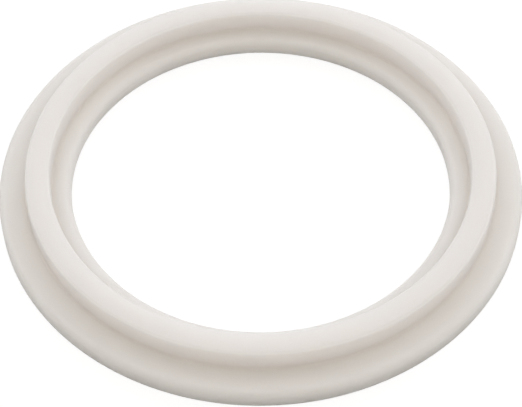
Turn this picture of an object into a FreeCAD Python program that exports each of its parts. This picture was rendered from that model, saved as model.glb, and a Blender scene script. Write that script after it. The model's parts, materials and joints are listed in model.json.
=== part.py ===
"""Ribbed seal ring for a 2 inch pipe union, moulded in one piece.

A flat round flange carries one raised sealing rib on its upper face.
Outside the rib the flange runs on to the rim, and inside it a narrower
ledge runs to the bore. The underside is flat.

Millimetres. The origin is the middle of the flat underside, and +Z is the
ring's axis, towards the rib. Widths and heights run to the sharp corners
of the section, which are then rounded.
"""
import FreeCAD, Part
import math
import os

# Widths across the ring, from the bore outwards
bore_diameter = 55.4
ledge_width = 2.75
rib_width = 3.6
flange_width = 4.05

# Heights along the axis
flange_thickness = 3.1
rib_height = 3.65

# Slopes of the rib in degrees: its sides lean in to leave the mould, and
# its top falls from the crown to both edges
rib_draft = 1.0
crown_slope = 5.0

# Radii of the section's rounded corners
rim_top_radius = 1.0
rim_bottom_radius = 0.9
bore_top_radius = 0.9
bore_bottom_radius = 1.4
rib_root_radius = 0.4
rib_edge_radius = 0.5

# The most of a straight side that the round at either end may take
largest_round_share = 0.48

# Places in the section that follow from the sizes above
bore_radius = bore_diameter / 2
rib_inner_radius = bore_radius + ledge_width
rib_outer_radius = rib_inner_radius + rib_width
rim_radius = rib_outer_radius + flange_width
crown_middle = (rib_inner_radius + rib_outer_radius) / 2
crown_height = flange_thickness + rib_height
rib_edge_height = crown_height - rib_width / 2 * math.tan(math.radians(crown_slope))
side_lean = (rib_edge_height - flange_thickness) * math.tan(math.radians(rib_draft))


def at(radius, height):
    """A point of the section, which lies in the XZ plane."""
    return FreeCAD.Vector(radius, 0, height)


def rounded(before, corner, after, radius):
    """The arc that rounds one corner of an outline, as start, middle and end.

    The round is held to its share of the shorter side beside the corner.
    """
    back = before - corner
    ahead = after - corner
    longest = min(back.Length, ahead.Length) * largest_round_share
    half_angle = back.getAngle(ahead) / 2
    setback = min(radius / math.tan(half_angle), longest)
    fitted_radius = setback * math.tan(half_angle)
    back.normalize()
    ahead.normalize()
    to_centre = (back + ahead).normalize()
    middle = corner + to_centre * (fitted_radius / math.sin(half_angle) - fitted_radius)
    return corner + back * setback, middle, corner + ahead * setback


def section():
    """The face that is turned about Z, from its (point, radius) corners.

    The crown is as round as its two slopes allow.
    """
    corners = [
        (at(bore_radius, 0), bore_bottom_radius),
        (at(rim_radius, 0), rim_bottom_radius),
        (at(rim_radius, flange_thickness), rim_top_radius),
        (at(rib_outer_radius, flange_thickness), rib_root_radius),
        (at(rib_outer_radius - side_lean, rib_edge_height), rib_edge_radius),
        (at(crown_middle, crown_height), math.inf),
        (at(rib_inner_radius + side_lean, rib_edge_height), rib_edge_radius),
        (at(rib_inner_radius, flange_thickness), rib_root_radius),
        (at(bore_radius, flange_thickness), bore_top_radius),
    ]
    rounds = []
    for index, (corner, radius) in enumerate(corners):
        before = corners[index - 1][0]
        after = corners[(index + 1) % len(corners)][0]
        rounds.append(rounded(before, corner, after, radius))
    edges = []
    for index, (start, middle, end) in enumerate(rounds):
        next_start = rounds[(index + 1) % len(rounds)][0]
        edges.append(Part.Arc(start, middle, end).toShape())
        edges.append(Part.makeLine(end, next_start))
    return Part.Face(Part.Wire(edges))


def seal_ring():
    """The whole ring: its section turned once about Z."""
    return section().revolve(FreeCAD.Vector(0, 0, 0), FreeCAD.Vector(0, 0, 1), 360)


os.makedirs("parts", exist_ok=True)
seal_ring().exportStep("parts/seal_ring.step")
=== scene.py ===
"""Off-white moulded seal ring on a white ground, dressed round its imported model.

Metres, in the frame of the CAD model: the origin is the middle of the flat
underside, and +Z is the ring's axis, towards the rib.
"""
import json
import math

import bpy
from mathutils import Matrix, Vector


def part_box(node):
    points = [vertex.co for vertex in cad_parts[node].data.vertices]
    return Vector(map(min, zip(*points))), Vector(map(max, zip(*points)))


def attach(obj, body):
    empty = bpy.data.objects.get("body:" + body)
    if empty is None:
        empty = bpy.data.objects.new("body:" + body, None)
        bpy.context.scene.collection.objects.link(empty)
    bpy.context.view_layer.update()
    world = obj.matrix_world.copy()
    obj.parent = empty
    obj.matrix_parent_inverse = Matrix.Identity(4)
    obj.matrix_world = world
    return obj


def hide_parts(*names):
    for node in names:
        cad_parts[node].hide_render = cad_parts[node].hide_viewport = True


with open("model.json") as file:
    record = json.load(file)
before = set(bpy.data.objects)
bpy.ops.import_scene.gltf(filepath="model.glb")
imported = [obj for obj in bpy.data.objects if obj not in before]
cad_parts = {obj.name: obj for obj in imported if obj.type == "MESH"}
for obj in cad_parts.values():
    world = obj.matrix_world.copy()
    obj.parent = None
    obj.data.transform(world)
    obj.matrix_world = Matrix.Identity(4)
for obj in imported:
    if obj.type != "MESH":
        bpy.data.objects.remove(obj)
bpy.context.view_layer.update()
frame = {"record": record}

# Sizes of the ring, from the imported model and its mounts
mounts = {mount["name"]: mount for mount in frame["record"]["mounts"]}
low_corner, high_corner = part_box("seal_ring")
rim_radius = (high_corner.x - low_corner.x) / 2
bore_radius = mounts["bore"]["dims"]["r_mm"] / 1000
flange_thickness = mounts["flange_top"]["pos_m"][2]

# How much higher the flange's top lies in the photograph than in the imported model
flange_rise = 0.00025

# Widths and heights to the sharp corners of the section, and the rib's slopes
ledge_width = 0.00275
flange_width = 0.00405
rib_height = 0.00365
rib_draft = math.radians(1.0)
crown_slope = math.radians(5.0)

# Radii of the section's rounded corners
rim_top_radius = 0.001
rim_bottom_radius = 0.0009
bore_top_radius = 0.0009
bore_bottom_radius = 0.0014
rib_root_radius = 0.0004
rib_edge_radius = 0.0005

# The most of a straight side that the round at either end may take
largest_round_share = 0.48

# Places in the section that follow from the sizes above
flange_top = flange_thickness + flange_rise
rib_inner_radius = bore_radius + ledge_width
rib_outer_radius = rim_radius - flange_width
crown_middle = (rib_inner_radius + rib_outer_radius) / 2
crown_height = flange_thickness + rib_height
rib_edge_height = crown_height - (rib_outer_radius - crown_middle) * math.tan(crown_slope)
side_lean = (rib_edge_height - flange_top) * math.tan(rib_draft)

# How finely the ring's mesh follows its form
steps_round_a_corner = 8
longest_step = 0.0003
steps_round_the_ring = 480

# The rubber's colours; the flange's paler tone, the crease tint and the edge tint are painted
# light
rib_colour = (0.80, 0.775, 0.762, 1)
# Paler and warmer than the rib: painted light on the flange and ledge
flange_painted_light_colour = (0.84, 0.805, 0.77, 1)
cloud_colour = (0.83, 0.79, 0.75, 1)
# Painted shade: the creases beside the rib are painted darker and warmer
crease_shade_colour = (0.79, 0.75, 0.69, 1)
# Painted highlight: the rib's edges are painted paler
edge_highlight_colour = (0.90, 0.88, 0.84, 1)
grain_colour = (0.74, 0.70, 0.65, 1)

# The most that each tint takes, and how far two of them, the painted crease shade and the
# painted edge highlight, reach from their places
cloud_share = 0.25
crease_shade_share = 0.15
crease_shade_reach = 0.0012
edge_highlight_share = 1.0
edge_highlight_reach = 0.00035
grain_share = 0.12

# Uneven patches and grain: their size, fineness, and the part of the noise that shows
cloud_size = 0.008
cloud_detail = 3
cloud_span = (0.35, 0.65)
grain_size = 0.00028
grain_detail = 2
grain_span = (0.3, 0.7)

# The skin's relief, and its roughness outside and inside the uneven patches
grain_depth = 0.000006
mark_spacing = 0.00032
mark_depth = 0.0000006
smoothest = 0.5
roughest = 0.62

# How far light travels inside the rubber, and how much of that for red, green and blue
scatter_depth = 0.007
scatter_by_colour = (1.0, 0.97, 0.93)

# The soft light from above, which fades towards the horizon, and the surround's look
sky_light = (0.56, 0.53, 0.51, 1)
surround_colour = (1, 1, 1, 1)

# Lamps, as turn from behind towards the right, height, power and colour
lamp_size = 0.83
lamp_distance = 1.0
lamps = {
    "back_lamp": (0, 38, 2.25, (0.95, 0.97, 1.0)),
    "right_lamp": (60, 30, 3.05, (0.95, 0.97, 1.0)),
    "left_lamp": (-60, 30, 2.75, (0.95, 0.97, 1.0)),
    "side_lamp": (90, 12, 1.05, (1.0, 0.96, 0.92)),
    "front_lamp": (183, 50, 3.2, (1.0, 0.96, 0.86)),
}

# The floor: what it throws back on the ring, and the shade and glow that it shows
floor_size = 1.4
floor_bounce = (0.75, 0.75, 0.75, 1)
floor_shade = (0.2, 0.2, 0.2, 1)
floor_glow = 0.86

# The camera: its height above the ring's plane, roll, distance and lens,
# how far right and down of the origin it looks, and the nearest that it sees
camera_elevation = math.radians(50.12)
camera_roll = math.radians(-0.48)
camera_distance = 0.2404
camera_right = 0.00004
camera_down = 0.00206
sensor_width = 36
focal_length = 112.3
nearest_seen = 0.01

# Where a Mix node has its share, its two colours and its mixed colour
mix_share = 0
mix_colour = 6
mix_tint = 7
mixed_colour = 2


def rounded(before, corner, after, radius):
    """Points along the arc that rounds one corner of the section.

    The round is held to its share of the shorter side beside the corner.
    """
    back = before - corner
    ahead = after - corner
    longest = min(back.length, ahead.length) * largest_round_share
    half_angle = back.angle(ahead) / 2
    setback = min(radius / math.tan(half_angle), longest)
    arc_radius = setback * math.tan(half_angle)
    back.normalize()
    ahead.normalize()
    to_centre = (back + ahead).normalized()
    centre = corner + to_centre * (arc_radius / math.sin(half_angle))
    start = corner + back * setback - centre
    end = corner + ahead * setback - centre
    # angle_signed counts clockwise, and Rotation counts the other way
    turn = -start.angle_signed(end)
    points = []
    for step in range(steps_round_a_corner + 1):
        arm = start.copy()
        arm.rotate(Matrix.Rotation(turn * step / steps_round_a_corner, 2))
        points.append(centre + arm)
    return points


def section_points():
    """The section's outline as (radius, height) points, closed, with rounded corners.

    The crown is as round as its two slopes allow.
    """
    corners = [
        (Vector((bore_radius, 0)), bore_bottom_radius),
        (Vector((rim_radius, 0)), rim_bottom_radius),
        (Vector((rim_radius, flange_top)), rim_top_radius),
        (Vector((rib_outer_radius, flange_top)), rib_root_radius),
        (Vector((rib_outer_radius - side_lean, rib_edge_height)), rib_edge_radius),
        (Vector((crown_middle, crown_height)), math.inf),
        (Vector((rib_inner_radius + side_lean, rib_edge_height)), rib_edge_radius),
        (Vector((rib_inner_radius, flange_top)), rib_root_radius),
        (Vector((bore_radius, flange_top)), bore_top_radius),
    ]
    arcs = []
    for index, (corner, radius) in enumerate(corners):
        before = corners[index - 1][0]
        after = corners[(index + 1) % len(corners)][0]
        arcs.append(rounded(before, corner, after, radius))
    points = []
    for index, arc in enumerate(arcs):
        points.extend(arc)
        next_start = arcs[(index + 1) % len(arcs)][0]
        straight = next_start - arc[-1]
        steps = math.ceil(straight.length / longest_step)
        points.extend(arc[-1] + straight * step / steps for step in range(1, steps))
    return points


def ring_mesh():
    """The section turned about Z as one closed mesh of quads."""
    section = section_points()
    vertices = []
    faces = []
    for turn_step in range(steps_round_the_ring):
        angle = 2 * math.pi * turn_step / steps_round_the_ring
        for point in section:
            vertices.append((point.x * math.cos(angle), point.x * math.sin(angle), point.y))
    count = len(section)
    for turn_step in range(steps_round_the_ring):
        here = turn_step * count
        beyond = (turn_step + 1) % steps_round_the_ring * count
        for index in range(count):
            following = (index + 1) % count
            faces.append((here + index, beyond + index, beyond + following, here + following))
    mesh = bpy.data.meshes.new("moulded_ring")
    mesh.from_pydata(vertices, [], faces)
    mesh.shade_smooth()
    return mesh


def linked(tree, kind, sources, **settings):
    """A new node with its settings, and its inputs joined to other nodes' outputs."""
    node = tree.nodes.new(kind)
    for name, value in settings.items():
        setattr(node, name, value)
    for socket, source in sources.items():
        tree.links.new(source, node.inputs[socket])
    return node


def noise(tree, place, size, detail):
    """Soft noise from 0 to 1, with lumps of about the given size in metres."""
    node = linked(tree, "ShaderNodeTexNoise", {"Vector": place})
    node.inputs["Scale"].default_value = 1 / size
    node.inputs["Detail"].default_value = detail
    return node.outputs["Fac"]


def eased(tree, value, before, after):
    """A number moved smoothly from one range to another, and held at its ends."""
    node = linked(tree, "ShaderNodeMapRange", {"Value": value}, interpolation_type="SMOOTHSTEP")
    node.inputs["From Min"].default_value = before[0]
    node.inputs["From Max"].default_value = before[1]
    node.inputs["To Min"].default_value = after[0]
    node.inputs["To Max"].default_value = after[1]
    return node.outputs["Result"]


def combined(tree, operation, first, second):
    """Two numbers joined by a sum, a product or the like. The second may be a plain number."""
    node = linked(tree, "ShaderNodeMath", {0: first}, operation=operation)
    if isinstance(second, (int, float)):
        node.inputs[1].default_value = second
    else:
        tree.links.new(second, node.inputs[1])
    return node.outputs["Value"]


def tinted(tree, colour, tint, share):
    """A colour moved towards a tint by a share. The colour may be plain or another node's."""
    node = linked(tree, "ShaderNodeMix", {mix_share: share}, data_type="RGBA")
    if isinstance(colour, tuple):
        node.inputs[mix_colour].default_value = colour
    else:
        tree.links.new(colour, node.inputs[mix_colour])
    node.inputs[mix_tint].default_value = tint
    return node.outputs[mixed_colour]


def beside_circles(tree, radius, height, circles, reach, most):
    """A share that is `most` on the given circles and falls to 0 at their reach.

    The circles lie round the axis, and each is given as (radius, height).
    """
    place = linked(tree, "ShaderNodeCombineXYZ", {"X": radius, "Y": height}).outputs[0]
    nearest = None
    for circle in circles:
        apart = linked(tree, "ShaderNodeVectorMath", {0: place}, operation="DISTANCE")
        apart.inputs[1].default_value = (circle[0], circle[1], 0)
        distance = apart.outputs["Value"]
        nearest = distance if nearest is None else combined(tree, "MINIMUM", nearest, distance)
    return eased(tree, nearest, (0, reach), (most, 0))


def rubber_material():
    """Matte off-white moulded rubber that lets some light in.

    Its colour is a little uneven. The flange and the ledge are painted paler and
    warmer than the rib, as painted light. The creases beside the rib are darker
    and warmer with painted shade, and the rib's edges are paler with a painted
    highlight. Its skin has a fine grain and the faint turning marks of its mould.
    """
    material = bpy.data.materials.new("moulded_rubber")
    material.use_nodes = True
    tree = material.node_tree
    shader = tree.nodes["Principled BSDF"]
    place = tree.nodes.new("ShaderNodeTexCoord").outputs["Object"]
    parts = linked(tree, "ShaderNodeSeparateXYZ", {0: place}).outputs
    height = parts["Z"]
    flat = linked(tree, "ShaderNodeCombineXYZ", {"X": parts["X"], "Y": parts["Y"]}).outputs[0]
    length = linked(tree, "ShaderNodeVectorMath", {0: flat}, operation="LENGTH")
    radius = length.outputs["Value"]
    creases = [(rib_inner_radius, flange_top), (rib_outer_radius, flange_top)]
    edges = [
        (rib_inner_radius + side_lean, rib_edge_height),
        (rib_outer_radius - side_lean, rib_edge_height),
    ]
    # Painted shade in the creases beside the rib
    painted_crease_shade = beside_circles(tree, radius, height, creases, crease_shade_reach, crease_shade_share)
    # A painted highlight along the rib's top edges
    painted_edge_highlight = beside_circles(tree, radius, height, edges, edge_highlight_reach, edge_highlight_share)
    cloud = eased(tree, noise(tree, place, cloud_size, cloud_detail), cloud_span, (0, 1))
    grain = noise(tree, place, grain_size, grain_detail)

    # The flange and ledge are painted paler and warmer than the rib, as painted light
    on_rib = eased(tree, height, (flange_top, flange_top + rib_root_radius), (0, 1))
    colour = tinted(tree, flange_painted_light_colour, rib_colour, on_rib)
    colour = tinted(tree, colour, cloud_colour, combined(tree, "MULTIPLY", cloud, cloud_share))
    # Painted shade darkens and warms the creases
    colour = tinted(tree, colour, crease_shade_colour, painted_crease_shade)
    # A painted highlight makes the rib's edges paler
    colour = tinted(tree, colour, edge_highlight_colour, painted_edge_highlight)
    colour = tinted(tree, colour, grain_colour, eased(tree, grain, grain_span, (0, grain_share)))
    tree.links.new(colour, shader.inputs["Base Color"])

    roughness = eased(tree, cloud, (0, 1), (smoothest, roughest))
    tree.links.new(roughness, shader.inputs["Roughness"])

    shader.inputs["Subsurface Weight"].default_value = 1.0
    shader.inputs["Subsurface Scale"].default_value = scatter_depth
    shader.inputs["Subsurface Radius"].default_value = scatter_by_colour

    turns = combined(tree, "MULTIPLY", radius, 2 * math.pi / mark_spacing)
    waves = linked(tree, "ShaderNodeMath", {0: turns}, operation="SINE").outputs["Value"]
    marks = combined(tree, "MULTIPLY", waves, mark_depth)
    relief = combined(tree, "ADD", combined(tree, "MULTIPLY", grain, grain_depth), marks)
    bump = linked(tree, "ShaderNodeBump", {"Height": relief})
    bump.inputs["Distance"].default_value = 1.0
    tree.links.new(bump.outputs["Normal"], shader.inputs["Normal"])
    return material


def lit_unless_seen(tree, lighting, seen):
    """Joins two shaders: `seen` shows to the camera, gloss and glass, `lighting` to all else."""
    path = tree.nodes.new("ShaderNodeLightPath").outputs
    looks = combined(tree, "MAXIMUM", path["Is Camera Ray"], path["Is Glossy Ray"])
    looks = combined(tree, "MAXIMUM", looks, path["Is Transmission Ray"])
    return linked(tree, "ShaderNodeMixShader", {0: looks, 1: lighting, 2: seen}).outputs[0]


def make_world():
    """A surround that looks white, and lights the ring softly from above."""
    world = bpy.data.worlds.new("white_surround")
    bpy.context.scene.world = world
    world.use_nodes = True
    tree = world.node_tree
    tree.nodes.clear()
    direction = tree.nodes.new("ShaderNodeTexCoord").outputs["Generated"]
    upward = linked(tree, "ShaderNodeSeparateXYZ", {0: direction}).outputs["Z"]
    strength = combined(tree, "MAXIMUM", upward, 0)
    lighting = linked(tree, "ShaderNodeBackground", {"Strength": strength})
    lighting.inputs["Color"].default_value = sky_light
    seen = tree.nodes.new("ShaderNodeBackground")
    seen.inputs["Color"].default_value = surround_colour
    joined = lit_unless_seen(tree, lighting.outputs[0], seen.outputs[0])
    linked(tree, "ShaderNodeOutputWorld", {"Surface": joined})


def make_floor():
    """A pale floor that looks white and keeps a faint shadow of the ring."""
    half = floor_size / 2
    mesh = bpy.data.meshes.new("floor")
    corners = [(-half, -half, 0), (half, -half, 0), (half, half, 0), (-half, half, 0)]
    mesh.from_pydata(corners, [], [(0, 1, 2, 3)])
    floor = bpy.data.objects.new("floor", mesh)
    bpy.context.scene.collection.objects.link(floor)
    material = bpy.data.materials.new("pale_floor")
    material.use_nodes = True
    tree = material.node_tree
    tree.nodes.clear()
    bounce = tree.nodes.new("ShaderNodeBsdfDiffuse")
    bounce.inputs["Color"].default_value = floor_bounce
    shade = tree.nodes.new("ShaderNodeBsdfDiffuse")
    shade.inputs["Color"].default_value = floor_shade
    glow = tree.nodes.new("ShaderNodeEmission")
    glow.inputs["Strength"].default_value = floor_glow
    seen = linked(tree, "ShaderNodeAddShader", {0: shade.outputs[0], 1: glow.outputs[0]})
    joined = lit_unless_seen(tree, bounce.outputs[0], seen.outputs[0])
    linked(tree, "ShaderNodeOutputMaterial", {"Surface": joined})
    mesh.materials.append(material)


def make_lamp(name, turn, height, power, colour):
    """A soft square lamp that faces the ring.

    It stands `turn` degrees round from behind the ring towards its right,
    and `height` degrees above its plane.
    """
    across = math.cos(math.radians(height))
    direction = Vector((
        across * math.sin(math.radians(turn)),
        across * math.cos(math.radians(turn)),
        math.sin(math.radians(height)),
    ))
    data = bpy.data.lights.new(name, "AREA")
    data.shape = "SQUARE"
    data.size = lamp_size
    data.energy = power
    data.color = colour
    lamp = bpy.data.objects.new(name, data)
    lamp.location = direction * lamp_distance
    lamp.rotation_euler = direction.to_track_quat("Z", "Y").to_euler()
    bpy.context.scene.collection.objects.link(lamp)


def make_camera():
    """The photograph's camera, found from the ring's outline, hole and rib."""
    data = bpy.data.cameras.new("camera")
    data.sensor_width = sensor_width
    data.lens = focal_length
    data.clip_start = nearest_seen
    camera = bpy.data.objects.new("camera", data)
    level = Matrix.Rotation(math.pi / 2 - camera_elevation, 3, "X")
    turn = level @ Matrix.Rotation(camera_roll, 3, "Z")
    right = turn @ Vector((1, 0, 0))
    up = turn @ Vector((0, 1, 0))
    backward = turn @ Vector((0, 0, 1))
    camera.rotation_euler = turn.to_euler()
    camera.location = backward * camera_distance + right * camera_right - up * camera_down
    bpy.context.scene.collection.objects.link(camera)
    bpy.context.scene.camera = camera


ring = bpy.data.objects.new("moulded_ring", ring_mesh())
bpy.context.scene.collection.objects.link(ring)
ring.data.materials.append(rubber_material())
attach(ring, "root")
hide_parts("seal_ring")

make_world()
make_floor()
for name, (turn, height, power, colour) in lamps.items():
    make_lamp(name, turn, height, power, colour)
make_camera()
bpy.context.scene.view_settings.view_transform = "Standard"
